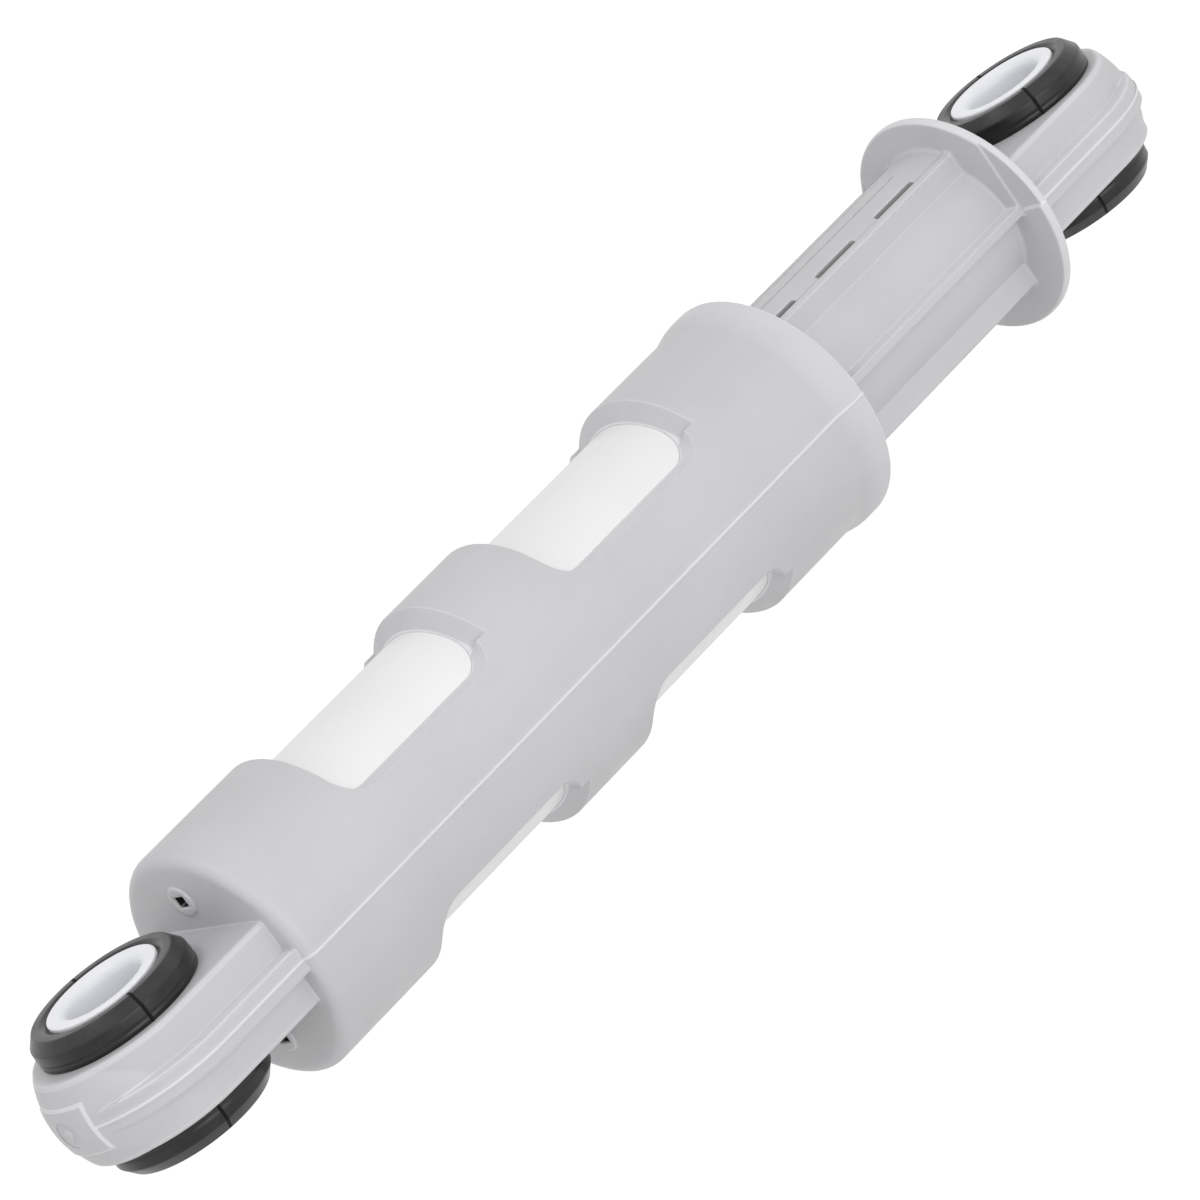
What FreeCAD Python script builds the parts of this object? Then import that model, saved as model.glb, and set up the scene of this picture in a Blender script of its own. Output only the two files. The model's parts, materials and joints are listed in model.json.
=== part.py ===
import FreeCAD, Part
import math
import os

from FreeCAD import Vector

# Washing machine shock absorber, a friction damper with a rubber bushed eye at each end.
# The origin is the centre of the housing's eye. X runs along the damper to the plunger's eye.
# Z is the axis of both eyes, and the mould of the two grey mouldings parts on the plane Z = 0.
# The damper is drawn at the length the photograph shows it. All sizes are in millimetres.

# Housing shell
SHELL_RADIUS = 20.2
SHELL_WALL = 3.05
SHELL_LENGTH = 133.1
END_FACE_X = 18.4
CAP_THICKNESS = 3.0
END_ROUND = 2.0
COLLAR_RADIUS = 21.0
COLLAR_LENGTH = 7.4
COLLAR_RISE = 4.4
COLLAR_STEPS = 5
LIP_ROUND = 0.7

# Windows in the housing, cut from above and from below
WINDOW_COUNT = 2
FIRST_RING_LENGTH = 22.6
RING_LENGTH = 15.2
WINDOW_LENGTH = 35.4
WINDOW_FLOOR = 10.4
WINDOW_CORNER = 4.6
WINDOW_BEVEL = 2.0
BEVEL_LAND = 0.3
BEVEL_HALF_ANGLE = 47.0

# Vents in the end face
VENT_OFFSET = 12.5
VENT_WIDTH = 2.8
VENT_HEIGHT = 2.0
VENT_BOSS_RADIUS = 2.5
VENT_BOSS_HEIGHT = 0.3

# Parting line left by the mould
PARTING_WIDTH = 0.5
PARTING_HEIGHT = 0.2

# Inner tube
TUBE_WALL = 1.95
TUBE_MOUTH_INSET = 1.0
TUBE_LEAD_IN = 0.8

# Eyes and arms, the same on both mouldings
EYE_RADIUS = 15.5
ARM_THICKNESS = 14.9
ARM_EDGE_ROUND = 0.9
BAND_HEIGHT = 3.0
BAND_SHIFT = 1.3
BAND_THICKNESS = 4.2
BAND_EDGE_ROUND = 0.5
SEAT_RADIUS = 11.5
CROWN_REACH = 17.75
CROWN_RADIUS = 14.0
CROWN_SAG = 1.85
PAD_LENGTH = 11.0
PAD_WIDTH = 8.0
PAD_HEIGHT = 0.25
GATE_RADIUS = 2.3
GATE_DEPTH = 0.3
GATE_NUB_RADIUS = 0.9

# Rubber bush and its plastic sleeve
BUSH_LENGTH = 24.4
LIP_RADIUS = 13.5
LIP_DRAFT = 0.1
LIP_GROOVE_RISE = 1.05
LIP_GROOVE_DEPTH = 0.4
LIP_SHOULDER_RISE = 3.25
LIP_TOP_RADIUS = 12.0
LIP_TOP_ROUND = 0.4
LIP_INNER_WIDTH = 1.2
LIP_INNER_DROP = 0.5
RUBBER_LINE_WIDTH = 0.5
RUBBER_LINE_HEIGHT = 0.2
SLEEVE_LENGTH = 24.6
SLEEVE_RADIUS = 9.4
SLEEVE_BORE_RADIUS = 6.25
SLEEVE_LEAD_IN = 1.9
SLEEVE_RIM_ROUND = 0.4
SLEEVE_CLEARANCE = 0.03

# Plunger
PULLED_OUT = 48.5
STEM_LENGTH = 124.0
FLANGE_RADIUS = 19.7
FLANGE_THICKNESS = 1.8
FLANGE_STEP = 0.35
FLANGE_RIM_ROUND = 0.5
FLANGE_TO_EYE = 22.4
CORE_WALL = 2.5
CORE_END_WALL = 3.0
RIB_THICKNESS = 1.5
RIB_CLEARANCE = 0.3
RIB_HEIGHT = 2.9
LAND_WIDTH = 14.4
LAND_RIB_THICKNESS = 1.0
LAND_DROP = 0.35
LAND_LINE_OFFSET = 1.8
LAND_LINE_WIDTH = 0.4
LAND_LINE_DEPTH = 0.5
ROOT_ROUND = 0.6

# Pockets beside the raised land of the stem
POCKET_LENGTH = 9.8
POCKET_PITCH = 15.6
POCKET_WIDTH = 1.5
POCKET_DEPTH = 4.2
POCKET_TO_FLANGE = 7.9

# Piston and friction lining
PISTON_CLEARANCE = 0.1
COLLAR_THICKNESS = 3.0
PISTON_ROUND = 0.6
LINING_LENGTH = 31.0
LINING_THICKNESS = 2.94
LINING_CLEARANCE = 0.03
LINING_END_CLEARANCE = 0.05

# Sizes worked out from those above
BORE_RADIUS = SHELL_RADIUS - SHELL_WALL
TUBE_BORE_RADIUS = BORE_RADIUS - TUBE_WALL
MOUTH_X = END_FACE_X + SHELL_LENGTH
TUBE_START_X = END_FACE_X + CAP_THICKNESS
TUBE_END_X = MOUTH_X - TUBE_MOUTH_INSET
FLANGE_X = MOUTH_X + PULLED_OUT
STEM_START_X = FLANGE_X - STEM_LENGTH
PLUNGER_EYE_X = FLANGE_X + FLANGE_TO_EYE
ARM_HALF = ARM_THICKNESS / 2
BAND_RADIUS = EYE_RADIUS + BAND_HEIGHT
RIB_TIP_RADIUS = TUBE_BORE_RADIUS - RIB_CLEARANCE
CORE_RADIUS = RIB_TIP_RADIUS - RIB_HEIGHT
PISTON_RADIUS = TUBE_BORE_RADIUS - PISTON_CLEARANCE
LINING_RADIUS = TUBE_BORE_RADIUS - LINING_CLEARANCE
GROOVE_RADIUS = LINING_RADIUS - LINING_THICKNESS - LINING_CLEARANCE
GROOVE_START_X = STEM_START_X + COLLAR_THICKNESS
GROOVE_END_X = GROOVE_START_X + LINING_LENGTH + 2 * LINING_END_CLEARANCE
PISTON_END_X = GROOVE_END_X + COLLAR_THICKNESS
RUBBER_BORE_RADIUS = SLEEVE_RADIUS + SLEEVE_CLEARANCE

ALONG = Vector(1, 0, 0)
UP = Vector(0, 0, 1)


def turned(points, closing_axis, sweep=360):
    """A solid of revolution from points given as (place along the axis, radius)."""
    if closing_axis is ALONG:
        corners = [Vector(place, radius, 0) for place, radius in points]
    else:
        corners = [Vector(radius, 0, place) for place, radius in points]
    outline = Part.makePolygon(corners + corners[:1])
    return Part.Face(outline).revolve(Vector(0, 0, 0), closing_axis, sweep)


def arc_points(place, radius, round_radius, first, last, steps=3):
    """Outline points along an arc, from its centre, its radius and its first and last angle."""
    points = []
    for step in range(steps + 1):
        angle = math.radians(first + (last - first) * step / steps)
        along = place + round_radius * math.cos(angle)
        points.append((along, radius + round_radius * math.sin(angle)))
    return points


def round_plate(start, length, radius, round_radius):
    """A disc round the damper's axis with both rims rounded off."""
    end = start + length
    rim = radius - round_radius
    front = arc_points(start + round_radius, rim, round_radius, 180, 90)
    back = arc_points(end - round_radius, rim, round_radius, 90, 0)
    return turned([(start, 0)] + front + back + [(end, 0)], ALONG)


def disc(start, length, radius):
    """A cylinder round the damper's axis."""
    return Part.makeCylinder(radius, length, Vector(start, 0, 0), ALONG)


def box(x_span, y_span, z_span):
    """A box between the given pairs of ends."""
    size = [span[1] - span[0] for span in (x_span, y_span, z_span)]
    corner = Vector(x_span[0], y_span[0], z_span[0])
    return Part.makeBox(size[0], size[1], size[2], corner)


def flipped(shape):
    """The same shape on the other side of the plane Z = 0."""
    return shape.mirror(Vector(0, 0, 0), UP)


def moved_along(shape, distance):
    """A copy of the shape moved along the damper."""
    copy = shape.copy()
    copy.translate(Vector(distance, 0, 0))
    return copy


def edges_at_height(shape, height):
    """The edges that lie wholly at plus or minus the given height."""
    found = []
    for edge in shape.Edges:
        bounds = edge.BoundBox
        flat = bounds.ZLength < 1e-6
        if flat and abs(abs(bounds.ZMin) - height) < 1e-6:
            found.append(edge)
    return found


def slab(radius, middle, reach, thickness, edge_round):
    """A plate that runs along X as far as reach, with one round end about the given middle."""
    half = thickness / 2
    top = Vector(middle, radius, -half)
    low = Vector(middle, -radius, -half)
    tip = Part.Arc(top, Vector(middle - radius, 0, -half), low).toShape()
    far_low = Vector(reach, -radius, -half)
    far_top = Vector(reach, radius, -half)
    sides = [Part.makeLine(low, far_low), Part.makeLine(far_low, far_top), Part.makeLine(far_top, top)]
    plate = Part.Face(Part.Wire([tip] + sides)).extrude(Vector(0, 0, thickness))
    if edge_round == 0:
        return plate
    rounded = [e for e in edges_at_height(plate, half) if e.BoundBox.XMin < reach - 1e-6]
    return plate.makeFillet(edge_round, rounded)


def crown(extra):
    """The bulge at the tip of an eye, made larger all round by the given amount."""
    crest = CROWN_RADIUS + extra
    side = crest - CROWN_SAG
    low = Vector(side, 0, -ARM_HALF)
    top = Vector(side, 0, ARM_HALF)
    bulge = Part.Arc(low, Vector(crest, 0, 0), top).toShape()
    rest = Part.makePolygon([top, Vector(0, 0, ARM_HALF), Vector(0, 0, -ARM_HALF), low])
    body = Part.Face(Part.Wire([bulge] + rest.Edges)).revolve(Vector(0, 0, 0), UP, 360)
    body = body.makeFillet(ARM_EDGE_ROUND, edges_at_height(body, ARM_HALF))
    return moved_along(body, CROWN_RADIUS - CROWN_REACH)


def gate_pad():
    """The low raised pad at the tip of an eye, with the round mark where the mould was filled."""
    half_length = PAD_LENGTH / 2
    half_width = PAD_WIDTH / 2
    limits = box((-2 * CROWN_REACH, 0), (-half_length, half_length), (-half_width, half_width))
    pad = crown(0).fuse(crown(PAD_HEIGHT).common(limits))
    crest = CROWN_REACH + PAD_HEIGHT
    dimple = disc(-crest - 1, 1 + GATE_DEPTH, GATE_RADIUS)
    nub = disc(-crest, 2 * GATE_DEPTH, GATE_NUB_RADIUS)
    return pad.cut(dimple).fuse(nub)


def eye_arm(reach):
    """An eye at the origin with its arm along X, before the bush seat is bored."""
    arm = slab(EYE_RADIUS, 0, reach, ARM_THICKNESS, ARM_EDGE_ROUND)
    band = slab(BAND_RADIUS, BAND_SHIFT, reach, BAND_THICKNESS, BAND_EDGE_ROUND)
    line = slab(BAND_RADIUS + PARTING_HEIGHT, BAND_SHIFT, reach, PARTING_WIDTH, 0)
    return arm.fuse([band, line, gate_pad()])


def bush_seat():
    """The bore that takes the rubber bush."""
    return Part.makeCylinder(SEAT_RADIUS, 4 * ARM_HALF, Vector(0, 0, -2 * ARM_HALF), UP)


def shell_outline(extra):
    """The outside of the shell as outline points, with every radius larger by the given amount."""
    points = arc_points(END_FACE_X + END_ROUND, SHELL_RADIUS - END_ROUND, END_ROUND, 180, 90, 5)
    collar_x = MOUTH_X - COLLAR_LENGTH
    for step in range(COLLAR_STEPS + 1):
        share = step / COLLAR_STEPS
        swell = (1 - math.cos(math.pi * share)) / 2
        radius = SHELL_RADIUS + (COLLAR_RADIUS - SHELL_RADIUS) * swell
        points.append((collar_x + COLLAR_RISE * share, radius))
    points += arc_points(MOUTH_X - LIP_ROUND, COLLAR_RADIUS - LIP_ROUND, LIP_ROUND, 90, 0)
    return [(place, radius + extra) for place, radius in points]


def shell():
    """The round shell, closed at the eye end and open with a swollen collar at the mouth."""
    inner = [(MOUTH_X, BORE_RADIUS), (TUBE_START_X, BORE_RADIUS), (TUBE_START_X, 0), (END_FACE_X, 0)]
    return turned(shell_outline(0) + inner, ALONG)


def window_tool():
    """The cutter of one window, from above, with its end nearer the eye at the origin."""
    tall = 2 * SHELL_RADIUS
    wide = 2 * COLLAR_RADIUS
    cut = box((0, WINDOW_LENGTH - WINDOW_BEVEL), (-wide, wide), (WINDOW_FLOOR, tall))
    low_edges = []
    for edge in cut.Edges:
        bounds = edge.BoundBox
        if bounds.YLength > wide and abs(bounds.ZMax - WINDOW_FLOOR) < 1e-6:
            low_edges.append(edge)
    return cut.makeFillet(WINDOW_CORNER, low_edges)


def bevel_tool():
    """The cutter of the bevelled end wall, at the window's end nearer the plunger."""
    land_radius = BORE_RADIUS + BEVEL_LAND
    outside = COLLAR_RADIUS + 1
    spread = WINDOW_BEVEL * (outside - SHELL_RADIUS) / (SHELL_RADIUS - land_radius)
    middle = WINDOW_LENGTH / 2
    outline = [
        (middle, land_radius),
        (middle, outside),
        (WINDOW_LENGTH + spread, outside),
        (WINDOW_LENGTH - WINDOW_BEVEL, land_radius),
    ]
    bevel = turned(outline, ALONG, 2 * BEVEL_HALF_ANGLE)
    bevel.rotate(Vector(0, 0, 0), ALONG, 90 - BEVEL_HALF_ANGLE)
    return bevel


def windows():
    """The cutters of all windows, above and below."""
    first = window_tool().fuse(bevel_tool())
    tools = []
    for number in range(WINDOW_COUNT):
        place = END_FACE_X + FIRST_RING_LENGTH + number * (WINDOW_LENGTH + RING_LENGTH)
        upper = moved_along(first, place)
        tools += [upper, flipped(upper)]
    return tools


def vents():
    """The low bosses round the vents, and the square holes through them."""
    bosses = []
    holes = []
    half_width = VENT_WIDTH / 2
    half_height = VENT_HEIGHT / 2
    for side in (-1, 1):
        z = side * VENT_OFFSET
        start = Vector(END_FACE_X - VENT_BOSS_HEIGHT, 0, z)
        bosses.append(Part.makeCylinder(VENT_BOSS_RADIUS, CAP_THICKNESS, start, ALONG))
        span = (END_FACE_X - 1, TUBE_START_X + 1)
        holes.append(box(span, (-half_width, half_width), (z - half_height, z + half_height)))
    return bosses, holes


def parting_lines():
    """The fine raised line that the mould leaves along both sides of the shell."""
    half = PARTING_WIDTH / 2
    reach = COLLAR_RADIUS + 1
    foot = SHELL_RADIUS - END_ROUND
    ring = turned(shell_outline(PARTING_HEIGHT) + [(MOUTH_X, foot), (END_FACE_X, foot)], ALONG)
    return ring.common(box((END_FACE_X, MOUTH_X), (-reach, reach), (-half, half)))


def housing():
    """The grey outer moulding: shell, collar, windows, arm and eye."""
    bosses, holes = vents()
    arm = eye_arm(END_FACE_X + CAP_THICKNESS / 2)
    body = shell().cut(windows())
    body = body.fuse([arm, parting_lines()] + bosses)
    return body.cut(holes + [bush_seat()]).removeSplitter()


def cylinder_tube():
    """The white inner tube that the plunger runs in."""
    points = [
        (TUBE_START_X, TUBE_BORE_RADIUS),
        (TUBE_START_X, BORE_RADIUS),
        (TUBE_END_X, BORE_RADIUS),
        (TUBE_END_X, TUBE_BORE_RADIUS + TUBE_LEAD_IN),
        (TUBE_END_X - TUBE_LEAD_IN, TUBE_BORE_RADIUS),
    ]
    return turned(points, ALONG)


def piston_collar(start):
    """One of the two collars beside the friction lining."""
    return round_plate(start, COLLAR_THICKNESS, PISTON_RADIUS, PISTON_ROUND)


def stem_ribs():
    """The ribs and raised lands of the stem, between the piston and the flange."""
    span = (PISTON_END_X - PISTON_ROUND, FLANGE_X)
    half = RIB_THICKNESS / 2
    inner = LAND_WIDTH / 2
    outer = inner + LAND_RIB_THICKNESS
    tall = TUBE_BORE_RADIUS
    ribs = box(span, (-tall, tall), (-half, half))
    ribs = ribs.fuse([box(span, (-outer, -inner), (-tall, tall)), box(span, (inner, outer), (-tall, tall))])
    ribs = ribs.common(disc(span[0], span[1] - span[0], RIB_TIP_RADIUS))
    land = box(span, (-inner, inner), (-tall, tall))
    land = land.common(disc(span[0], span[1] - span[0], RIB_TIP_RADIUS - LAND_DROP))
    return ribs.fuse(land)


def pockets():
    """The rows of narrow pockets between the lands and the ribs beside them."""
    inner = LAND_WIDTH / 2
    last = FLANGE_X - POCKET_TO_FLANGE - POCKET_LENGTH
    room = last - PISTON_END_X
    count = int(room / POCKET_PITCH) + 1
    tools = []
    for number in range(count):
        start = last - number * POCKET_PITCH
        span = (start, start + POCKET_LENGTH)
        for side in (-1, 1):
            edges = sorted((side * inner, side * (inner - POCKET_WIDTH)))
            upper = box(span, edges, (RIB_TIP_RADIUS - POCKET_DEPTH, TUBE_BORE_RADIUS))
            tools += [upper, flipped(upper)]
    return tools


def land_lines():
    """The cutters of the fine lines along the middle of the lands."""
    span = (PISTON_END_X + PISTON_ROUND, FLANGE_X - POCKET_TO_FLANGE)
    floor = RIB_TIP_RADIUS - LAND_DROP - LAND_LINE_DEPTH
    half = LAND_LINE_WIDTH / 2
    tools = []
    for side in (-1, 1):
        middle = side * LAND_LINE_OFFSET
        upper = box(span, (middle - half, middle + half), (floor, TUBE_BORE_RADIUS))
        tools += [upper, flipped(upper)]
    return tools


def flange_plate():
    """The thin round flange."""
    return round_plate(FLANGE_X, FLANGE_THICKNESS, FLANGE_RADIUS, FLANGE_RIM_ROUND)


def flange_steps():
    """The cutters that set the flange's front back a little, above the ribs on its two sides."""
    span = (FLANGE_X - 1, FLANGE_X + FLANGE_STEP)
    wide = 2 * FLANGE_RADIUS
    near = box(span, (-wide, -RIB_TIP_RADIUS), (0, wide))
    far = box(span, (RIB_TIP_RADIUS, wide), (0, wide))
    return [near, far]


def root_edges(shape):
    """The edges in the corner where the stem's outside meets the flange's front."""
    found = []
    for edge in shape.Edges:
        bounds = edge.BoundBox
        in_front = abs(bounds.XMin - FLANGE_X) < 1e-6 and bounds.XLength < 1e-6
        outermost = max(abs(bounds.YMin), abs(bounds.YMax), abs(bounds.ZMin), abs(bounds.ZMax))
        if in_front and outermost < TUBE_BORE_RADIUS:
            found.append(edge)
    return found


def plunger():
    """The grey inner moulding: piston, ribbed hollow stem, flange, arm and eye."""
    core = disc(STEM_START_X, STEM_LENGTH, CORE_RADIUS)
    groove = disc(GROOVE_START_X, GROOVE_END_X - GROOVE_START_X, GROOVE_RADIUS)
    collars = [piston_collar(STEM_START_X), piston_collar(GROOVE_END_X)]
    stem = core.fuse([groove, stem_ribs(), flange_plate()] + collars).removeSplitter()
    stem = stem.makeFillet(ROOT_ROUND, root_edges(stem))
    stem = stem.cut(pockets() + land_lines() + flange_steps())
    hollow_length = STEM_LENGTH - CORE_END_WALL
    hollow = disc(STEM_START_X - 1, hollow_length + 1, CORE_RADIUS - CORE_WALL)
    arm = eye_arm(FLANGE_TO_EYE - FLANGE_THICKNESS / 2)
    arm = arm.cut(bush_seat())
    arm.rotate(Vector(0, 0, 0), UP, 180)
    arm.translate(Vector(PLUNGER_EYE_X, 0, 0))
    body = stem.fuse(arm)
    return body.cut(hollow).removeSplitter()


def friction_lining():
    """The strip of lining in the piston's groove, as the ring that it forms in the tube."""
    start = GROOVE_START_X + LINING_END_CLEARANCE
    ring = disc(start, LINING_LENGTH, LINING_RADIUS)
    return ring.cut(disc(start, LINING_LENGTH, LINING_RADIUS - LINING_THICKNESS))


def bush_rubber():
    """The rubber bush of an eye at the origin, with a grooved and tapered lip at each end."""
    top = BUSH_LENGTH / 2
    groove = ARM_HALF + LIP_GROOVE_RISE
    lip = [
        (ARM_HALF, SEAT_RADIUS),
        (ARM_HALF, LIP_RADIUS - LIP_DRAFT),
        (groove - LIP_GROOVE_DEPTH, LIP_RADIUS),
        (groove, LIP_RADIUS - LIP_GROOVE_DEPTH),
        (groove + LIP_GROOVE_DEPTH, LIP_RADIUS),
        (ARM_HALF + LIP_SHOULDER_RISE, LIP_RADIUS - LIP_DRAFT),
    ]
    rim = arc_points(top - LIP_TOP_ROUND, LIP_TOP_RADIUS - LIP_TOP_ROUND, LIP_TOP_ROUND, 50, 0, 2)
    inner = [
        (top, RUBBER_BORE_RADIUS + LIP_INNER_WIDTH),
        (top - LIP_INNER_DROP, RUBBER_BORE_RADIUS),
        (0, RUBBER_BORE_RADIUS),
    ]
    half = turned([(0, SEAT_RADIUS)] + lip + rim + inner, UP)
    return half.fuse([flipped(half), rubber_lines()]).removeSplitter()


def rubber_lines():
    """The short moulding lines across the lips, on the two sides of the eye."""
    half = RUBBER_LINE_WIDTH / 2
    reach = LIP_RADIUS + RUBBER_LINE_HEIGHT
    lines = []
    for side in (-1, 1):
        edges = sorted((side * SEAT_RADIUS, side * reach))
        upper = box((-half, half), edges, (ARM_HALF, ARM_HALF + LIP_SHOULDER_RISE))
        lines += [upper, flipped(upper)]
    return lines[0].fuse(lines[1:])


def bush_sleeve():
    """The plastic sleeve of an eye at the origin, with a rounded way in at each end."""
    top = SLEEVE_LENGTH / 2
    lead = SLEEVE_LEAD_IN
    way_in = arc_points(top - lead, SLEEVE_BORE_RADIUS + lead, lead, -90, 0, 6)
    rim_middle = top - SLEEVE_RIM_ROUND
    rim = arc_points(rim_middle, SLEEVE_RADIUS - SLEEVE_RIM_ROUND, SLEEVE_RIM_ROUND, 0, 90)
    half = turned([(0, SLEEVE_BORE_RADIUS)] + way_in + rim + [(0, SLEEVE_RADIUS)], UP)
    return half.fuse(flipped(half)).removeSplitter()


NODES = {
    "housing": housing(),
    "cylinder_tube": cylinder_tube(),
    "plunger": plunger(),
    "friction_lining": friction_lining(),
    "housing_bush_rubber": bush_rubber(),
    "housing_bush_sleeve": bush_sleeve(),
    "plunger_bush_rubber": moved_along(bush_rubber(), PLUNGER_EYE_X),
    "plunger_bush_sleeve": moved_along(bush_sleeve(), PLUNGER_EYE_X),
}

os.makedirs("parts", exist_ok=True)
for name, shape in NODES.items():
    if len(shape.Solids) == 1:
        shape = shape.Solids[0]
    shape.exportStep("parts/" + name + ".step")
    bounds = shape.BoundBox
    spans = (bounds.XMin, bounds.XMax, bounds.YMin, bounds.YMax, bounds.ZMin, bounds.ZMax)
    print(name, len(shape.Solids), shape.isValid(), round(shape.Volume, 1), [round(s, 2) for s in spans])
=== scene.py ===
import json
import math

import bpy
from mathutils import Matrix, Vector


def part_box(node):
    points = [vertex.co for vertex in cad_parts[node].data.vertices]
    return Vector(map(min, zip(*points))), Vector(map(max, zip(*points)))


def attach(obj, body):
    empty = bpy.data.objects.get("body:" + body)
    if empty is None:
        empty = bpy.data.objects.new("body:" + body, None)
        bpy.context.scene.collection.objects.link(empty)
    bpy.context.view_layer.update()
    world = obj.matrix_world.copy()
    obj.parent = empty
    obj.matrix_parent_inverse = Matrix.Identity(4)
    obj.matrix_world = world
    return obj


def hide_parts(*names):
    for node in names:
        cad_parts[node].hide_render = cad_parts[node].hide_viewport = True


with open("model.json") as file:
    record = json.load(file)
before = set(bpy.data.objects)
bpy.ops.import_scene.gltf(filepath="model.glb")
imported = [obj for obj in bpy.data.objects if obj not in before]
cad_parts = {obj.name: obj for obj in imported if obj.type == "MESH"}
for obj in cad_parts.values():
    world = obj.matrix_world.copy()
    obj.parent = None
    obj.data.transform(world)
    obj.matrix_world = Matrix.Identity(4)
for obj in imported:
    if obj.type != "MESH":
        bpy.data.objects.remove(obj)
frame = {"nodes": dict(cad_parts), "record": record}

# A washing machine shock absorber: finishes, small moulded details, light and camera.
# Lengths are in metres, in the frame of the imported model. Only the outlines of the turned pieces and their
# seams are in millimetres.

MM = 0.001

# The camera, as it stood for the photograph
CAMERA_AZIMUTH = math.radians(-32.43)
CAMERA_ELEVATION = math.radians(16.40)
CAMERA_ROLL = math.radians(35.41)
CAMERA_DISTANCE = 0.9638
CAMERA_TARGET = Vector((0.1135, 0.0135, -0.0053))
CAMERA_LENS = 190.2
SENSOR_WIDTH = 36.0

# The rubber lips, in millimetres, as (height above the eye's middle, radius, round of the corner)
LIP_CORNERS = (
    (6.9, 11.5, 0.0),
    (7.43, 11.5, 0.1),
    (7.43, 13.4, 0.2),
    (8.1, 13.5, 0.15),
    (8.5, 13.4, 0.1),
    (8.9, 13.5, 0.15),
    (10.4, 13.4, 0.3),
    (12.2, 12.0, 0.35),
    (12.2, 10.6, 0.2),
    (11.7, 9.45, 0.0),
)

# The heights between which a lip's chamfer, with its painted sheen, begins
CHAMFER_FADE = (10.3 * MM, 10.7 * MM)

# The rubber's moulding seams in millimetres: half width, height, the heights they span on a lip and their
# least radius. The steps are the angles of the turned sections close to a seam, in radians.
SEAM_HALF_WIDTH = 0.24
SEAM_HEIGHT = 0.15
SEAM_SPAN = (7.44, 12.1)
SEAM_REACH = 11.8
SEAM_STEPS = (-0.045, -0.018, -0.009, 0.009, 0.018, 0.045)

# How finely the turned pieces are made
TURN_STEPS = 192
CORNER_STEPS = 6

# How far each bush is turned in its eye, seen in the place of its moulding seam
BUSH_TURNS = {"housing": math.radians(-13.5), "plunger": math.radians(-26.0)}

# The sleeves, in millimetres: the round of the mouth and of the rim, and how far above the middle their half
# outline starts. The painted shade in the bore fades out between two radii.
SLEEVE_WAY_IN = 1.9
SLEEVE_RIM = 0.4
SLEEVE_START = 0.5
BORE_SHADE_FADE = (6.4 * MM, 7.6 * MM)

# The walls of the shell's windows, with light painted on them: where they are, the heights between which the
# painted light fades out, and the radii between which the still paler foot on the tube fades out
WALL_SPAN = (25.0 * MM, 149.0 * MM)
WALL_RADII = (17.16 * MM, 20.05 * MM)
WALL_LIGHT_FADE = (11.0 * MM, 14.0 * MM)
FOOT_FADE = (17.46 * MM, 17.66 * MM)

# The slots and fine lines on the plunger's lands, with painted shade in the slots and painted shade and dirt
# along the lines
LAND_SPAN = (150.0 * MM, 193.0 * MM)
LINE_OFFSETS = (1.35 * MM, 2.25 * MM)
LINE_HEIGHTS = (13.9 * MM, 14.6 * MM)
SLOT_OFFSETS = (5.65 * MM, 7.25 * MM)
SLOT_HEIGHTS = (10.6 * MM, 14.3 * MM)
LAND_RADIUS = 14.4 * MM

# How far apart the two eyes are, and where the arms end
EYE_DISTANCE = 222.4 * MM
ARM_ENDS = (17.9 * MM, 201.5 * MM)

# The narrow faces of the bands along the arms, the rounded edges of the arms, and the narrow faces of the
# plunger's side ribs, painted paler as painted light and painted highlights
BAND_START = 15.55 * MM
BAND_SIDE = 10.5 * MM
BAND_FACES = (1.9 * MM, 2.35 * MM)
ARM_EDGE_START = 14.85 * MM
ARM_EDGE_HEIGHTS = (6.6 * MM, 7.35 * MM)
RIB_SPAN = (152.0 * MM, 199.9 * MM)
RIB_REACH = (12.05 * MM, 14.88 * MM)
RIB_FACES = (0.6 * MM, 1.1 * MM)

# The end of the housing's collar, with painted light, and the rim of its mouth and the rim of the plunger's
# flange, with painted highlights
COLLAR_FADE = (145.0 * MM, 149.5 * MM)
MOUTH_RIM = (150.95 * MM, 151.6 * MM)
FLANGE_RIM = (199.9 * MM, 201.9 * MM)
RIM_RADIUS = 19.4 * MM
COLLAR_RADIUS = 18.0 * MM

# The raised pads at the tips of the eyes, with a painted highlight round their edges
TIP_REACH = 12.0 * MM
PAD_SIDE = 5.5 * MM
PAD_TOP = 4.0 * MM
PAD_LINE = 0.2 * MM

# The fine line that the mould leaves along the sides, with a painted highlight on it
PARTING_START = 15.4 * MM
PARTING_LINE = 0.2 * MM

# How much further than its half width a line fades out, and how far the normals of an edge and of the
# faces beside it agree
LINE_FADE = 1.35
EDGE_AGREEMENT = (0.80, 0.995)

# The vents through the housing's end face, with the walls a little inside these sizes, where painted shade
# darkens the walls
VENT_MOUTH_X = 18.5 * MM
VENT_DEPTH = 2.8 * MM
VENT_OFFSET = 12.5 * MM
VENT_HALF_WIDTH = 1.45 * MM
VENT_HALF_HEIGHT = 1.05 * MM

# Light tints of the greys, as red, green and blue
PLASTIC_TINT = (1.0, 1.0, 1.025)
TUBE_TINT = (1.0, 1.0, 1.01)
SLEEVE_TINT = (0.98, 0.985, 1.02)
BORE_SHADE_TINT = (0.975, 0.99, 1.03)
RUBBER_TINT = (1.0, 1.0, 1.05)
RUBBER_DEEP_TINT = (1.0, 1.0, 1.06)

# The stage
FLOOR_PLACE = (0.11, 0.0, -0.16)
FLOOR_SIZE = 6.0
FLOOR_LEVEL = 0.73
FLOOR_WHITENING = 0.42
WORLD_LIGHT = 0.71

# The lamps, as (direction towards the lamp, level, spread in degrees)
FRONT_LAMP = ((-0.18, -0.97, 0.08), 0.47, 50)
TOP_LAMP = ((-0.40, 0.03, 0.92), 0.09, 15)

bpy.context.scene.view_settings.view_transform = "Standard"

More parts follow.
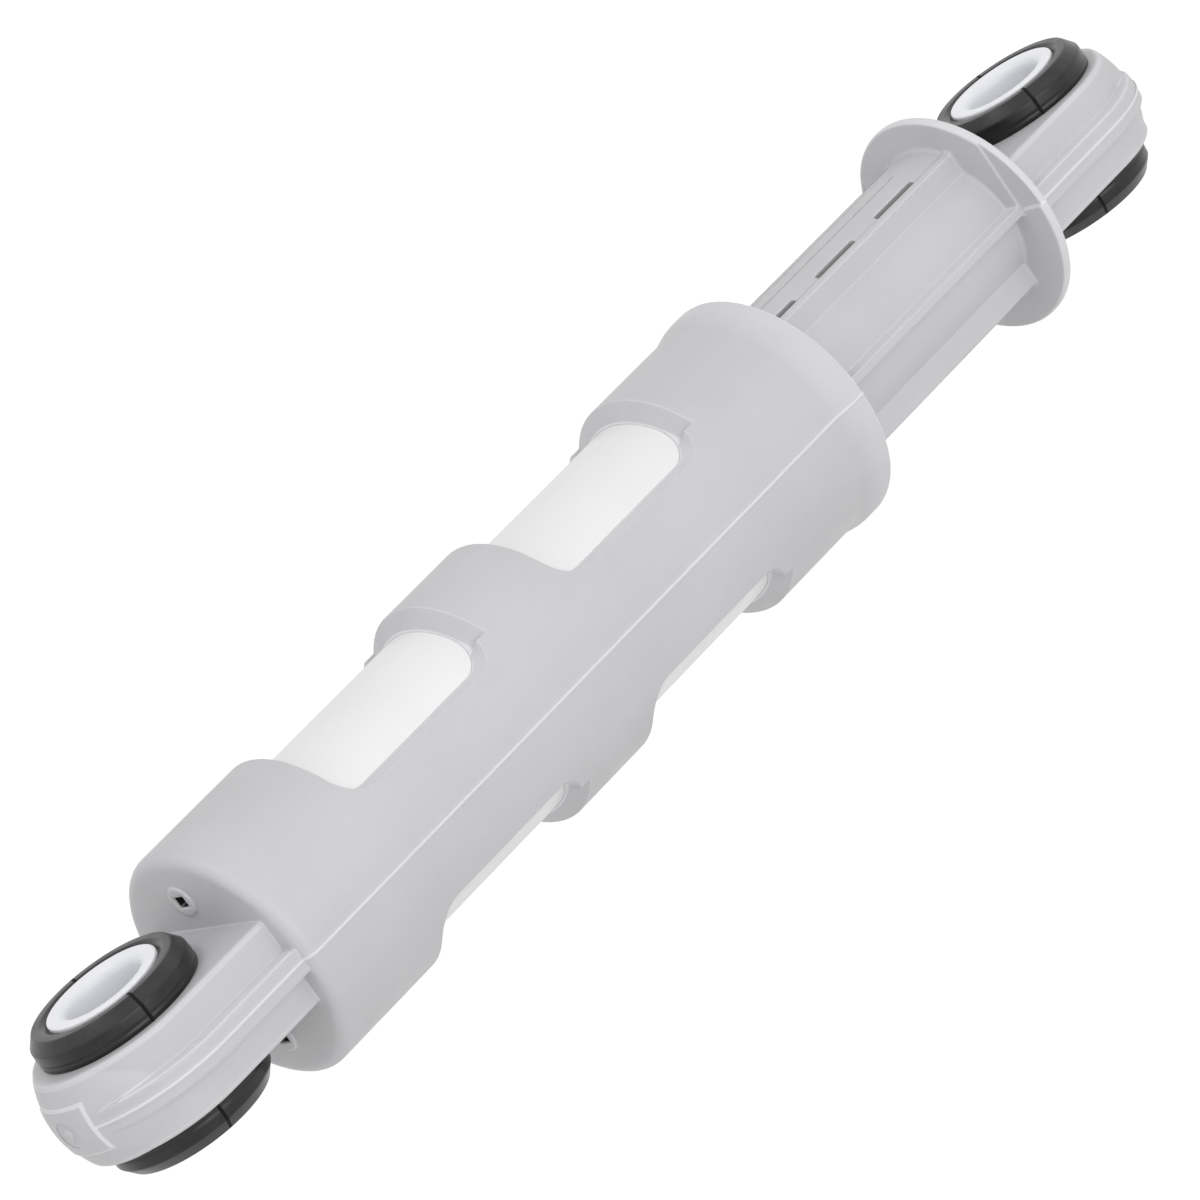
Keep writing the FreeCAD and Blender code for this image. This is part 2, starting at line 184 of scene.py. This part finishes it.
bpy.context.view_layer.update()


def camera_axes(azimuth, elevation, roll):
    """The camera's right, up and backward directions."""
    back = Vector((
        math.sin(azimuth) * math.cos(elevation),
        -math.cos(azimuth) * math.cos(elevation),
        math.sin(elevation),
    ))
    level_right = Vector((0, 0, 1)).cross(back).normalized()
    level_up = back.cross(level_right)
    up = level_up * math.cos(roll) + level_right * math.sin(roll)
    right = up.cross(back)
    return right, up, back


def add_camera():
    """The scene's camera at the photograph's viewing angle."""
    right, up, back = camera_axes(CAMERA_AZIMUTH, CAMERA_ELEVATION, CAMERA_ROLL)
    place = CAMERA_TARGET + back * CAMERA_DISTANCE
    data = bpy.data.cameras.new("camera")
    data.lens = CAMERA_LENS
    data.sensor_width = SENSOR_WIDTH
    data.clip_start = 0.01
    data.clip_end = 20.0
    camera = bpy.data.objects.new("camera", data)
    turn = Matrix((right, up, back)).transposed().to_4x4()
    camera.matrix_world = Matrix.Translation(place) @ turn
    bpy.context.scene.collection.objects.link(camera)
    bpy.context.scene.camera = camera


class Nodes:
    """Short calls for building a material's node tree."""

    def __init__(self, name):
        self.material = bpy.data.materials.new(name)
        self.material.use_nodes = True
        self.tree = self.material.node_tree
        self.shader = self.tree.nodes["Principled BSDF"]

    def add(self, kind, **settings):
        node = self.tree.nodes.new("ShaderNode" + kind)
        for key, value in settings.items():
            setattr(node, key, value)
        return node

    def link(self, output, socket):
        self.tree.links.new(output, socket)

    def place(self, scale=(1, 1, 1)):
        """The object's own coordinates, stretched by the given scale."""
        source = self.add("TexCoord")
        mapping = self.add("Mapping")
        mapping.inputs["Scale"].default_value = scale
        self.link(source.outputs["Object"], mapping.inputs["Vector"])
        return mapping.outputs["Vector"]

    def noise(self, scale, detail=3.0, roughness=0.5, where=None):
        """Noise with its waves that many to the metre."""
        node = self.add("TexNoise")
        node.inputs["Scale"].default_value = scale
        node.inputs["Detail"].default_value = detail
        node.inputs["Roughness"].default_value = roughness
        self.link(where or self.place(), node.inputs["Vector"])
        return node.outputs["Fac"]

    def ramp(self, value, low, high, from_min=0.0, from_max=1.0):
        """A value moved from one range to another."""
        node = self.add("MapRange")
        node.inputs["From Min"].default_value = from_min
        node.inputs["From Max"].default_value = from_max
        node.inputs["To Min"].default_value = low
        node.inputs["To Max"].default_value = high
        self.link(value, node.inputs["Value"])
        return node.outputs["Result"]

    def math(self, operation, first, second):
        """Two values, or a value and a number, put together."""
        node = self.add("Math", operation=operation)
        for index, value in enumerate((first, second)):
            if isinstance(value, (int, float)):
                node.inputs[index].default_value = value
            else:
                self.link(value, node.inputs[index])
        return node.outputs["Value"]

    def mix(self, fac, first, second):
        """A colour between two colours."""
        node = self.add("Mix", data_type="RGBA")
        self.link(fac, node.inputs["Factor"])
        for socket, value in ((node.inputs["A"], first), (node.inputs["B"], second)):
            if isinstance(value, tuple):
                socket.default_value = value
            else:
                self.link(value, socket)
        return node.outputs["Result"]

    def edges(self, radius, samples=6):
        """The rounded normal of sharp edges, and how much of an edge each point is."""
        bevel = self.add("Bevel", samples=samples)
        bevel.inputs["Radius"].default_value = radius
        flat = self.add("NewGeometry")
        both = self.add("VectorMath", operation="DOT_PRODUCT")
        self.link(bevel.outputs["Normal"], both.inputs[0])
        self.link(flat.outputs["Normal"], both.inputs[1])
        return bevel.outputs["Normal"], self.ramp(both.outputs["Value"], 1.0, 0.0, *EDGE_AGREEMENT)

    def parts(self):
        """The object's own X, Y and Z, in metres."""
        node = self.add("SeparateXYZ")
        self.link(self.place(), node.inputs["Vector"])
        return node.outputs["X"], node.outputs["Y"], node.outputs["Z"]

    def near_zero(self, value, half_width):
        """1 where a value is close to zero, fading out just past the given half width."""
        return self.ramp(self.math("ABSOLUTE", value, 0.0), 1.0, 0.0, half_width, LINE_FADE * half_width)

    def squares(self, first, second):
        """The square root of the sum of two squares."""
        total = self.math("ADD", self.math("MULTIPLY", first, first), self.math("MULTIPLY", second, second))
        return self.math("SQRT", total, 0.0)

    def toned(self, base, mask, share, level, tint=(1.0, 1.0, 1.0)):
        """A colour taken that share of the way to a grey level where the mask is 1."""
        return self.mix(self.math("MULTIPLY", mask, share), base, grey(level, tint))

    def beyond(self, along):
        """How far a place lies beyond the middle of the nearer eye, or 0 between the eyes."""
        before = self.math("MULTIPLY", along, -1.0)
        after = self.math("SUBTRACT", along, EYE_DISTANCE)
        return self.math("MAXIMUM", self.math("MAXIMUM", before, after), 0.0)

    def painted_highlight_pad_outline(self):
        """1 on the edges of the raised pads at the tips of the eyes, where a highlight is painted."""
        along, across, up = self.parts()
        side = self.math("ABSOLUTE", across, 0.0)
        height = self.math("ABSOLUTE", up, 0.0)
        upright = self.near_zero(self.math("SUBTRACT", side, PAD_SIDE), PAD_LINE)
        upright = self.math("MULTIPLY", upright, self.math("LESS_THAN", height, PAD_TOP + PAD_LINE))
        level = self.near_zero(self.math("SUBTRACT", height, PAD_TOP), PAD_LINE)
        level = self.math("MULTIPLY", level, self.math("LESS_THAN", side, PAD_SIDE + PAD_LINE))
        tip = self.math("GREATER_THAN", self.beyond(along), TIP_REACH)
        return self.math("MULTIPLY", tip, self.math("MAXIMUM", upright, level))

    def painted_highlight_arm_edges(self):
        """1 on the rounded upper and lower edges of the arms and eyes, where a highlight is painted."""
        along, across, up = self.parts()
        reach = self.squares(self.beyond(along), across)
        outer = self.math("GREATER_THAN", reach, ARM_EDGE_START)
        edge = self.math("MULTIPLY", outer, self.between(self.math("ABSOLUTE", up, 0.0), *ARM_EDGE_HEIGHTS))
        arms = self.math("SUBTRACT", 1.0, self.between(along, *ARM_ENDS))
        return self.math("MULTIPLY", arms, edge)

    def rims(self):
        """1 on the rims of the housing's mouth and the plunger's flange, where a highlight is painted."""
        along, across, up = self.parts()
        places = self.math("MAXIMUM", self.between(along, *MOUTH_RIM), self.between(along, *FLANGE_RIM))
        outer = self.math("GREATER_THAN", self.squares(across, up), RIM_RADIUS)
        return self.math("MULTIPLY", places, outer)

    def painted_light_collar_end(self):
        """1 on the thin end of the housing's collar, where light is painted, fading out away from the mouth.
        """
        along, across, up = self.parts()
        outer = self.math("GREATER_THAN", self.squares(across, up), COLLAR_RADIUS)
        near = self.ramp(along, 0.0, 1.0, *COLLAR_FADE)
        near = self.math("MULTIPLY", near, self.math("LESS_THAN", along, MOUTH_RIM[1]))
        return self.math("MULTIPLY", near, outer)

    def painted_light_side_faces(self):
        """1 on the narrow upper and lower faces of the bands and side ribs, where light is painted."""
        along, across, up = self.parts()
        height = self.math("ABSOLUTE", up, 0.0)
        reach = self.squares(self.beyond(along), across)
        arms = self.math("SUBTRACT", 1.0, self.between(along, *ARM_ENDS))
        beside = self.math("GREATER_THAN", self.math("ABSOLUTE", across, 0.0), BAND_SIDE)
        arms = self.math("MULTIPLY", arms, beside)
        outer = self.math("GREATER_THAN", reach, BAND_START)
        band = self.math("MULTIPLY", outer, self.between(height, *BAND_FACES))
        stem = self.between(along, *RIB_SPAN)
        rib = self.math("MULTIPLY", self.between(reach, *RIB_REACH), self.between(height, *RIB_FACES))
        return self.math("MAXIMUM", self.math("MULTIPLY", arms, band), self.math("MULTIPLY", stem, rib))

    def painted_highlight_parting_line(self):
        """1 on the fine line that the mould leaves along the outermost sides of the grey parts, where a
        highlight is painted.
        """
        along, across, up = self.parts()
        outside = self.math("GREATER_THAN", self.squares(self.beyond(along), across), PARTING_START)
        beside = self.math("GREATER_THAN", self.math("ABSOLUTE", across, 0.0), PAD_SIDE)
        return self.math("MULTIPLY", self.math("MULTIPLY", outside, beside), self.near_zero(up, PARTING_LINE))

    def between(self, value, low, high):
        """1 where a value lies between two numbers, else 0."""
        above = self.math("GREATER_THAN", value, low)
        return self.math("MULTIPLY", above, self.math("LESS_THAN", value, high))

    def painted_shade_vent_walls(self):
        """1 on the walls of the two small holes through the housing's end face, where shade is painted."""
        along, across, up = self.parts()
        deep = self.between(along, VENT_MOUTH_X, VENT_MOUTH_X + VENT_DEPTH)
        narrow = self.math("LESS_THAN", self.math("ABSOLUTE", across, 0.0), VENT_HALF_WIDTH)
        height = self.math("ABSOLUTE", up, 0.0)
        level = self.between(height, VENT_OFFSET - VENT_HALF_HEIGHT, VENT_OFFSET + VENT_HALF_HEIGHT)
        return self.math("MULTIPLY", deep, self.math("MULTIPLY", narrow, level))

    def painted_light_walls_and_foot(self):
        """1 on the walls of the shell's windows close to their floors, where light is painted, and 1 at their
        foot on the tube.
        """
        along, across, up = self.parts()
        radius = self.squares(across, up)
        wall = self.math("MULTIPLY", self.between(along, *WALL_SPAN), self.between(radius, *WALL_RADII))
        level = self.ramp(self.math("ABSOLUTE", up, 0.0), 1.0, 0.0, *WALL_LIGHT_FADE)
        foot = self.ramp(radius, 1.0, 0.0, *FOOT_FADE)
        return self.math("MULTIPLY", wall, level), self.math("MULTIPLY", wall, foot)

    def land_lines_shade_and_dirt(self):
        """1 along the fine lines of the plunger's lands, where shade and dirt are painted dark."""
        along, across, up = self.parts()
        side = self.between(self.math("ABSOLUTE", across, 0.0), *LINE_OFFSETS)
        height = self.between(self.math("ABSOLUTE", up, 0.0), *LINE_HEIGHTS)
        return self.math("MULTIPLY", self.between(along, *LAND_SPAN), self.math("MULTIPLY", side, height))

    def painted_shade_land_slots(self):
        """1 inside the slots of the plunger's lands, where shade is painted."""
        along, across, up = self.parts()
        side = self.math("ABSOLUTE", across, 0.0)
        height = self.math("ABSOLUTE", up, 0.0)
        slots = self.math("MULTIPLY", self.between(side, *SLOT_OFFSETS), self.between(height, *SLOT_HEIGHTS))
        sunk = self.math("LESS_THAN", self.squares(across, up), LAND_RADIUS)
        sunk = self.math("MULTIPLY", sunk, self.between(along, *LAND_SPAN))
        return self.math("MULTIPLY", sunk, slots)

    def bump(self, height, strength, distance, normal=None):
        """A bumped normal."""
        node = self.add("Bump")
        node.inputs["Strength"].default_value = strength
        node.inputs["Distance"].default_value = distance
        self.link(height, node.inputs["Height"])
        if normal is not None:
            self.link(normal, node.inputs["Normal"])
        return node.outputs["Normal"]


def grey(level, tint=(1.0, 1.0, 1.0)):
    """A colour of the given linear level, lightly tinted."""
    return tuple(level * part for part in tint) + (1.0,)


def grey_plastic():
    """Satin light grey moulding plastic: faint flow marks, fine grain, painted highlights on its edges, rims
    and narrow faces, painted light on its window walls and collar, painted shade in its slots and vents, and
    painted shade and dirt along its fine lines.
    """
    m = Nodes("grey_plastic")
    tint = PLASTIC_TINT
    cloudy = m.ramp(m.noise(38, 4, 0.6), 0.0, 1.0, 0.3, 0.7)
    flow = m.ramp(m.noise(90, 3, 0.5, m.place((0.25, 1, 1))), 0.0, 1.0, 0.35, 0.65)
    base = m.mix(cloudy, grey(0.55, tint), grey(0.595, tint))
    base = m.toned(base, flow, 0.25, 0.63, tint)
    walls, foot = m.painted_light_walls_and_foot()
    # Painted light: the walls of the windows are painted paler near their floors; the foot on the tube is
    # paler still.
    base = m.toned(base, walls, 0.8, 0.70, tint)
    base = m.toned(base, foot, 0.9, 0.86, tint)
    # Painted light: the narrow upper and lower faces of the bands and side ribs are painted paler.
    base = m.toned(base, m.painted_light_side_faces(), 0.8, 0.74, tint)
    # Painted highlight: the rounded edges of the arms are painted paler.
    base = m.toned(base, m.painted_highlight_arm_edges(), 0.3, 0.78, tint)
    # Painted light: the end of the collar is painted paler towards the mouth.
    base = m.toned(base, m.painted_light_collar_end(), 0.3, 0.80, tint)
    # Painted highlight: the rims of the mouth and the flange are painted paler.
    base = m.toned(base, m.rims(), 0.5, 0.84, tint)
    # Painted shade, with some dirt: the fine lines along the lands are painted dark.
    base = m.toned(base, m.land_lines_shade_and_dirt(), 0.35, 0.26, tint)
    # Painted shade: the insides of the slots on the lands are painted dark.
    base = m.toned(base, m.painted_shade_land_slots(), 0.5, 0.14, tint)
    # Painted highlight: the mould's parting line is painted paler.
    base = m.toned(base, m.painted_highlight_parting_line(), 0.6, 0.90, tint)
    # Painted highlight: the edges of the raised pads are painted paler.
    base = m.toned(base, m.painted_highlight_pad_outline(), 0.6, 0.88, tint)
    # Painted shade: the walls of the vents are painted nearly black.
    base = m.mix(m.painted_shade_vent_walls(), base, grey(0.02))
    # Painted highlight: sharp edges are painted paler.
    rounded, edge = m.edges(0.6 * MM)
    base = m.toned(base, edge, 0.9, 0.88, tint)
    m.link(base, m.shader.inputs["Base Color"])
    fine = m.noise(2600, 2, 0.6)
    rough = m.ramp(m.noise(140, 4, 0.6), 0.40, 0.54, 0.3, 0.7)
    m.link(rough, m.shader.inputs["Roughness"])
    height = m.math("ADD", m.math("MULTIPLY", fine, 0.5), m.math("MULTIPLY", cloudy, 0.8))
    m.link(m.bump(height, 0.10, 0.12 * MM, rounded), m.shader.inputs["Normal"])
    m.shader.inputs["Specular IOR Level"].default_value = 0.42
    return m.material


def white_tube_plastic():
    """Smooth white plastic with faint lines along its length."""
    m = Nodes("white_tube_plastic")
    lines = m.noise(900, 2, 0.6, m.place((0.02, 1, 1)))
    cloud = m.ramp(m.noise(45, 3, 0.55), 0.0, 1.0, 0.3, 0.7)
    base = m.mix(cloud, grey(0.83, TUBE_TINT), grey(0.87, TUBE_TINT))
    m.link(base, m.shader.inputs["Base Color"])
    m.link(m.ramp(lines, 0.30, 0.40, 0.3, 0.7), m.shader.inputs["Roughness"])
    m.link(m.bump(lines, 0.06, 0.05 * MM), m.shader.inputs["Normal"])
    return m.material


def sleeve_plastic():
    """White bearing plastic with a slight blue cast, turned rings in its bore and painted shade in the bore.
    """
    m = Nodes("sleeve_plastic")
    rings = m.noise(1500, 2, 0.5, m.place((0.03, 0.03, 1)))
    cloud = m.ramp(m.noise(120, 3, 0.5), 0.0, 1.0, 0.3, 0.7)
    base = m.mix(cloud, grey(0.91, SLEEVE_TINT), grey(0.95, SLEEVE_TINT))
    along, across, _ = m.parts()
    # Painted shade: the bore is painted darker than the sleeve's face.
    bore = m.ramp(m.squares(along, across), 1.0, 0.0, *BORE_SHADE_FADE)
    base = m.mix(bore, base, grey(0.84, BORE_SHADE_TINT))
    m.link(base, m.shader.inputs["Base Color"])
    m.link(m.ramp(rings, 0.26, 0.38, 0.3, 0.7), m.shader.inputs["Roughness"])
    m.link(m.bump(rings, 0.05, 0.04 * MM), m.shader.inputs["Normal"])
    return m.material


def bush_rubber():
    """Moulded black rubber, a little dusty, with a painted sheen on its rims and chamfers and painted shade
    along its moulding seams.
    """
    m = Nodes("bush_rubber")
    dust = m.ramp(m.noise(260, 5, 0.65), 0.0, 1.0, 0.42, 0.75)
    rounded, edge = m.edges(0.4 * MM)
    base = m.mix(dust, grey(0.008, RUBBER_DEEP_TINT), grey(0.021, RUBBER_TINT))
    # Painted sheen: the edges of the rubber are painted paler.
    base = m.toned(base, edge, 0.35, 0.09)
    along, _, up = m.parts()
    # Painted sheen: the chamfer on each lip is painted a little paler.
    chamfer = m.ramp(m.math("ABSOLUTE", up, 0.0), 0.0, 1.0, *CHAMFER_FADE)
    base = m.toned(base, chamfer, 0.16, 0.10, RUBBER_TINT)
    # Painted shade: a dark line is painted along each moulding seam, where the roughness is raised too.
    shaded_seam_line = m.near_zero(along, SEAM_HALF_WIDTH * MM)
    base = m.toned(base, shaded_seam_line, 0.85, 0.004)
    m.link(base, m.shader.inputs["Base Color"])
    rough = m.ramp(dust, 0.29, 0.42)
    m.link(m.math("MAXIMUM", rough, shaded_seam_line), m.shader.inputs["Roughness"])
    grain = m.noise(1800, 3, 0.6)
    m.link(m.bump(grain, 0.12, 0.08 * MM, rounded), m.shader.inputs["Normal"])
    m.shader.inputs["Specular IOR Level"].default_value = 0.38
    return m.material


def felt_lining():
    """Greased felt: short fibres along the strip, darker where the grease has soaked in."""
    m = Nodes("felt_lining")
    fibres = m.noise(1400, 6, 0.75, m.place((1, 0.35, 0.35)))
    soaked = m.ramp(m.noise(70, 4, 0.6), 0.0, 1.0, 0.35, 0.65)
    base = m.mix(soaked, grey(0.30, (1.0, 0.96, 0.86)), grey(0.17, (1.0, 0.95, 0.82)))
    base = m.mix(m.math("MULTIPLY", fibres, 0.4), base, grey(0.42, (1.0, 0.97, 0.9)))
    m.link(base, m.shader.inputs["Base Color"])
    m.link(m.ramp(soaked, 0.9, 0.6), m.shader.inputs["Roughness"])
    m.link(m.bump(fibres, 0.6, 0.3 * MM), m.shader.inputs["Normal"])
    m.shader.inputs["Sheen Weight"].default_value = 0.3
    return m.material


def give(node, material):
    """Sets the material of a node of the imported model."""
    slots = frame["nodes"][node].data.materials
    slots.clear()
    slots.append(material)


def finish_nodes(rubber, sleeve):
    """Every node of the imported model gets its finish."""
    plastic = grey_plastic()
    give("housing", plastic)
    give("plunger", plastic)
    give("cylinder_tube", white_tube_plastic())
    give("friction_lining", felt_lining())
    for end in ("housing", "plunger"):
        give(end + "_bush_rubber", rubber)
        give(end + "_bush_sleeve", sleeve)


def rounded(corners):
    """Outline points of a run of corners, each rounded off by its own radius."""
    points = [Vector(corners[0][:2])]
    for before, corner, after in zip(corners, corners[1:], corners[2:]):
        middle = Vector(corner[:2])
        to_before = (Vector(before[:2]) - middle).normalized()
        to_after = (Vector(after[:2]) - middle).normalized()
        half = to_before.angle(to_after) / 2
        reach = corner[2] / math.tan(half)
        start = middle + to_before * reach
        end = middle + to_after * reach
        for step in range(CORNER_STEPS + 1):
            share = step / CORNER_STEPS
            low = start.lerp(middle, share)
            high = middle.lerp(end, share)
            points.append(low.lerp(high, share))
    points.append(Vector(corners[-1][:2]))
    return points


def turn_angles():
    """The angles of the turned pieces' sections, with a few more close to the moulding seams."""
    angles = {2 * math.pi * turn / TURN_STEPS for turn in range(TURN_STEPS)}
    for side in (0.5 * math.pi, 1.5 * math.pi):
        angles.update(side + step for step in SEAM_STEPS)
    return sorted(angles)


def turned(name, outline, centre, material, swell=None):
    """A closed smooth piece turned round an eye's axis, from (height, radius) points in millimetres."""
    mesh = bpy.data.meshes.new(name)
    angles = turn_angles()
    count = len(outline)
    places = []
    faces = []
    for turn, angle in enumerate(angles):
        for height, radius in outline:
            reach = radius + (swell(angle, height, radius) if swell else 0.0)
            places.append((reach * math.cos(angle) * MM, reach * math.sin(angle) * MM, height * MM))
        for index in range(count):
            after = (index + 1) % count
            here = turn * count
            there = (turn + 1) % len(angles) * count
            faces.append((here + index, there + index, there + after, here + after))
    mesh.from_pydata(places, [], faces)
    mesh.shade_smooth()
    mesh.materials.append(material)
    piece = bpy.data.objects.new(name, mesh)
    piece.location = centre
    bpy.context.scene.collection.objects.link(piece)
    return piece


def mirrored(upper):
    """The upper half of an outline with its mirror image below, as one closed loop."""
    lower = [Vector((-point[0], point[1])) for point in reversed(upper)]
    return [tuple(point) for point in lower + list(upper)]


def seam(angle, height, radius):
    """The height of the rubber's moulding seam, on the two sides of the eye."""
    across = abs(math.cos(angle)) * radius
    on_lip = SEAM_SPAN[0] < abs(height) < SEAM_SPAN[1] and radius > SEAM_REACH
    return SEAM_HEIGHT * max(0.0, 1.0 - across / SEAM_HALF_WIDTH) if on_lip else 0.0


def add_bush(end, body, sleeve_body, rubber, sleeve):
    """The rubber bush and the plastic sleeve of one eye."""
    mount = next(m for m in frame["record"]["mounts"] if m["name"] == end + "_eye_bore")
    centre = Vector(mount["pos_m"])
    bore = mount["dims"]["r_mm"]
    bush = turned(end + "_turned_rubber", mirrored(rounded(LIP_CORNERS)), centre, rubber, seam)
    bush.rotation_euler = (0.0, 0.0, BUSH_TURNS[end])
    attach(bush, body)
    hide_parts(end + "_bush_rubber")
    low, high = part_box(end + "_bush_sleeve")
    top = (high[2] - low[2]) / 2 / MM
    radius = (high[1] - low[1]) / 2 / MM
    corners = (
        (SLEEVE_START, bore, 0.0),
        (top, bore, SLEEVE_WAY_IN),
        (top, radius, SLEEVE_RIM),
        (SLEEVE_START, radius, 0.0),
    )
    lining = turned(end + "_turned_sleeve", mirrored(rounded(corners)), centre, sleeve)
    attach(lining, sleeve_body)
    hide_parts(end + "_bush_sleeve")


def seen_plainly(tree):
    """1 for rays that show the stage, straight or in a mirror or glass, and 0 for its light."""
    path = tree.nodes.new("ShaderNodeLightPath")
    seen = path.outputs["Is Camera Ray"]
    for name in ("Is Glossy Ray", "Is Transmission Ray"):
        either = tree.nodes.new("ShaderNodeMath")
        either.operation = "MAXIMUM"
        tree.links.new(seen, either.inputs[0])
        tree.links.new(path.outputs[name], either.inputs[1])
        seen = either.outputs["Value"]
    return seen


def shown_or_lit(tree, lit, shown):
    """A strength: one number for the stage's light, another for what is seen of it."""
    strength = tree.nodes.new("ShaderNodeMapRange")
    strength.inputs["To Min"].default_value = lit
    strength.inputs["To Max"].default_value = shown
    tree.links.new(seen_plainly(tree), strength.inputs["Value"])
    return strength.outputs["Result"]


def add_world():
    """White to look at, and a plain soft light on the object."""
    world = bpy.data.worlds.new("studio")
    world.use_nodes = True
    bpy.context.scene.world = world
    background = world.node_tree.nodes["Background"]
    background.inputs["Color"].default_value = (1.0, 1.0, 1.0, 1.0)
    strength = shown_or_lit(world.node_tree, WORLD_LIGHT, 1.0)
    world.node_tree.links.new(strength, background.inputs["Strength"])


def add_floor():
    """A plain pale floor that shows as white, apart from the object's shadow."""
    bpy.ops.mesh.primitive_plane_add(size=FLOOR_SIZE, location=FLOOR_PLACE)
    floor = bpy.context.object
    floor.name = "floor"
    m = Nodes("pale_floor")
    m.shader.inputs["Base Color"].default_value = grey(FLOOR_LEVEL)
    m.shader.inputs["Roughness"].default_value = 0.9
    m.shader.inputs["Specular IOR Level"].default_value = 0.1
    m.shader.inputs["Emission Color"].default_value = (1.0, 1.0, 1.0, 1.0)
    m.link(shown_or_lit(m.tree, 0.0, FLOOR_WHITENING), m.shader.inputs["Emission Strength"])
    floor.data.materials.append(m.material)


def add_lamp(name, direction, level, spread):
    """A broad, even lamp: its level is the share of a surface's own colour that it shows by itself."""
    data = bpy.data.lights.new(name, "SUN")
    data.energy = level * math.pi
    data.angle = math.radians(spread)
    lamp = bpy.data.objects.new(name, data)
    lamp.rotation_euler = Vector(direction).to_track_quat("Z", "Y").to_euler()
    bpy.context.scene.collection.objects.link(lamp)


def add_lights():
    """Broad light from the camera's side, low down, and a little from above."""
    add_lamp("front", *FRONT_LAMP)
    add_lamp("top", *TOP_LAMP)


add_camera()
black_rubber = bush_rubber()
white_sleeve = sleeve_plastic()
finish_nodes(black_rubber, white_sleeve)
add_bush("housing", "barrel", "base_sleeve", black_rubber, white_sleeve)
add_bush("plunger", "rod", "tub_sleeve", black_rubber, white_sleeve)
add_world()
add_floor()
add_lights()
